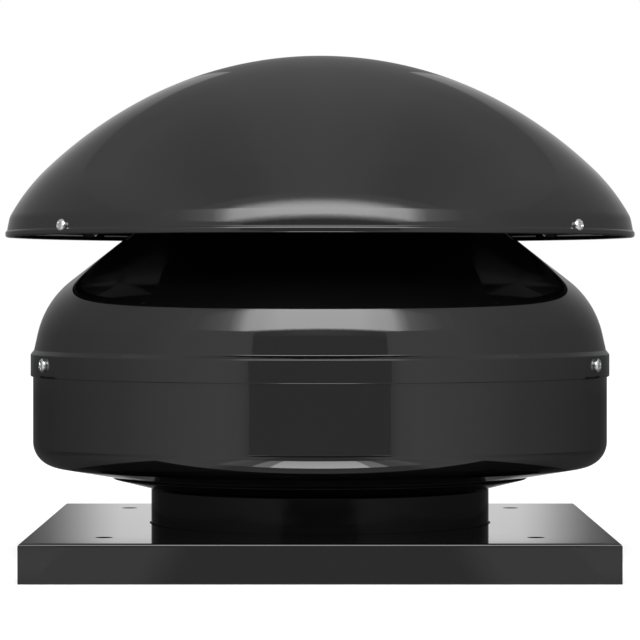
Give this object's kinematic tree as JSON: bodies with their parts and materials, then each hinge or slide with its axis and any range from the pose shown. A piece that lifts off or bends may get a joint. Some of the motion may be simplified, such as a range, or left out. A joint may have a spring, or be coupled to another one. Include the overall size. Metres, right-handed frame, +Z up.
{
  "type": "roof exhaust fan",
  "caption": "Round mushroom-shaped roof exhaust fan with a domed rain cap, a two-part casing, a short neck and a square curb plate, with an external-rotor impeller inside.",
  "frame": {"origin": "centre of the base plate, on the plane of its skirt's lower edge", "axes": "+Z up along the fan's axis, front towards -Y"},
  "size_m": [0.3792, 0.379, 0.3042],
  "materials": {
    "black_enamel": "gloss black powder coat",
    "zinc_fastener": "bright zinc plating",
    "galvanised_steel": "galvanised sheet",
    "cast_aluminium": "die cast, matt",
    "bearing_steel": "ground and polished",
    "shaft_steel": "ground",
    "core_steel": "varnished laminations",
    "winding_copper": "enamelled copper wire",
    "black_plastic": "moulded, fine texture",
    "grey_plastic": "moulded, satin",
    "white_plastic": "moulded, satin",
    "black_rubber": "matt"
  },
  "bodies": {
    "casing": {"base_plate": "black_enamel", "neck_spigot": "black_enamel", "lower_bowl": "black_enamel", "inlet_nozzle": "galvanised_steel", "nozzle_rivets": "black_enamel", "upper_shell": "black_enamel", "band_screws": "zinc_fastener", "band_nuts": "zinc_fastener", "outlet_guard": "black_enamel", "collar_rivets": "zinc_fastener", "rain_cap": "black_enamel", "cap_screws": "zinc_fastener", "front_rail": "galvanised_steel", "rear_rail": "galvanised_steel", "motor_plate": "galvanised_steel", "rail_screws": "zinc_fastener", "flange_screws": "zinc_fastener", "box_screws": "zinc_fastener", "plate_nuts": "zinc_fastener", "stator_flange": "cast_aluminium", "stator_core": "core_steel", "stator_windings": "winding_copper", "lower_outer_ring": "bearing_steel", "upper_outer_ring": "bearing_steel", "wave_washer": "shaft_steel", "bearing_cover": "black_plastic", "motor_lead": "black_rubber", "terminal_box": "grey_plastic", "lid_gasket": "black_rubber", "box_lid": "grey_plastic", "lid_screws": "zinc_fastener", "terminal_block": "white_plastic", "capacitor": "white_plastic", "lead_grommet": "black_rubber", "supply_gland": "grey_plastic", "gland_nut": "grey_plastic", "cap_bracket_1": "black_enamel", "cap_bracket_2": "black_enamel", "cap_bracket_3": "black_enamel", "cap_bracket_4": "black_enamel"},
    "rotor": {"rotor_can": "cast_aluminium", "rotor_core": "core_steel", "shaft": "shaft_steel", "shaft_circlip": "shaft_steel", "lower_inner_ring": "bearing_steel", "upper_inner_ring": "bearing_steel", "impeller_backplate": "galvanised_steel", "impeller_shroud": "galvanised_steel", "impeller_screws": "zinc_fastener", "impeller_blade_1": "galvanised_steel", "impeller_blade_2": "galvanised_steel", "impeller_blade_3": "galvanised_steel", "impeller_blade_4": "galvanised_steel", "impeller_blade_5": "galvanised_steel", "impeller_blade_6": "galvanised_steel", "impeller_blade_7": "galvanised_steel"},
    "lower_cage": {"lower_balls": "bearing_steel"},
    "upper_cage": {"upper_balls": "bearing_steel"}
  },
  "joints": [
    {"name": "rotor_spin", "type": "hinge", "parent": "casing", "child": "rotor", "pos_m": [0, 0, 0.118], "axis": [0, 0, 1], "continuous": true},
    {"name": "lower_cage_spin", "type": "hinge", "parent": "casing", "child": "lower_cage", "pos_m": [0, 0, 0.1045], "axis": [0, 0, 1], "continuous": true},
    {"name": "upper_cage_spin", "type": "hinge", "parent": "casing", "child": "upper_cage", "pos_m": [0, 0, 0.1305], "axis": [0, 0, 1], "continuous": true}
  ],
  "couplings": [
    {"joint": "lower_cage_spin", "follows": "rotor_spin", "ratio": 0.36944},
    {"joint": "upper_cage_spin", "follows": "rotor_spin", "ratio": 0.36944}
  ]
}
